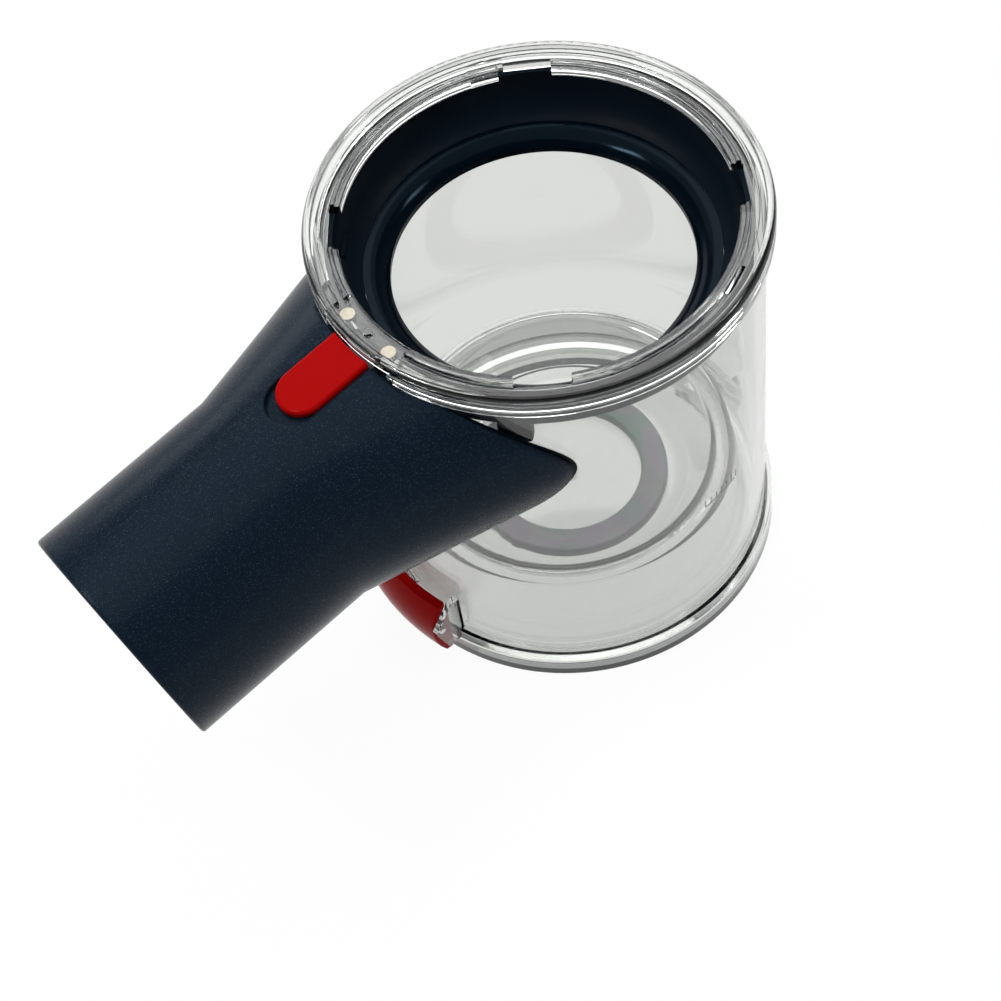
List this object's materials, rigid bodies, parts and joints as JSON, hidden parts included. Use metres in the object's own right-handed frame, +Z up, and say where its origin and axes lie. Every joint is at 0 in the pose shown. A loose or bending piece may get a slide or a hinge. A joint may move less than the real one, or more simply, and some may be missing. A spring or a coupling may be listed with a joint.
{
  "type": "cyclone dust bin",
  "caption": "Clear round vacuum-cleaner dust bin with a flared dark side inlet, scraper collar, sliding red release button and a hinged base flap with a red catch.",
  "frame": {"origin": "middle of the base flap's underside, on the bin's axis, where the bin stands", "axes": "+Z up along the bin's axis, -X along the inlet duct, +X towards the flap's hinge"},
  "size_m": [0.1789, 0.1, 0.1094],
  "materials": {
    "clear_plastic": "clear polished moulding",
    "flake_plastic": "semi-gloss dark blue-grey with fine metallic flake",
    "collar_plastic": "satin blue-black",
    "latch_plastic": "satin black",
    "black_rubber": "soft satin black",
    "grey_rubber": "smooth grey silicone",
    "red_plastic": "glossy red moulding",
    "steel": "drawn spring steel",
    "magnet": "pale plated discs"
  },
  "bodies": {
    "bin": {"bin_body": "clear_plastic", "inlet_duct": "flake_plastic", "inlet_gasket": "black_rubber", "scraper_ring": "collar_plastic", "scraper_lip": "black_rubber", "sensor_magnet_left": "magnet", "sensor_magnet_right": "magnet", "hinge_pin": "steel", "catch_pin": "steel", "release_spring": "steel", "catch_spring": "steel"},
    "flap": {"base_flap": "clear_plastic", "base_seal": "black_rubber", "fine_dust_seal": "grey_rubber"},
    "release": {"release_button": "red_plastic", "release_latch": "latch_plastic"},
    "catch": {"catch_lever": "red_plastic"}
  },
  "joints": [
    {"name": "flap_hinge", "type": "hinge", "parent": "bin", "child": "flap", "pos_m": [0.0535, 0, 0.0033], "axis": [0, -1, 0], "range_deg": [0, 110]},
    {"name": "release_slide", "type": "slide", "parent": "bin", "child": "release", "axis": [-0.9869, 0, -0.1616], "range_m": [0, 0.0026], "stiffness_N_per_m": 800, "springref_m": -0.001, "deforming": ["release_spring"]},
    {"name": "catch_pivot", "type": "hinge", "parent": "bin", "child": "catch", "pos_m": [-0.0516, 0, 0.013], "axis": [0, 1, 0], "range_deg": [0, 12], "stiffness_Nm_per_rad": 0.05, "springref_deg": -5.73, "deforming": ["catch_spring"]}
  ]
}
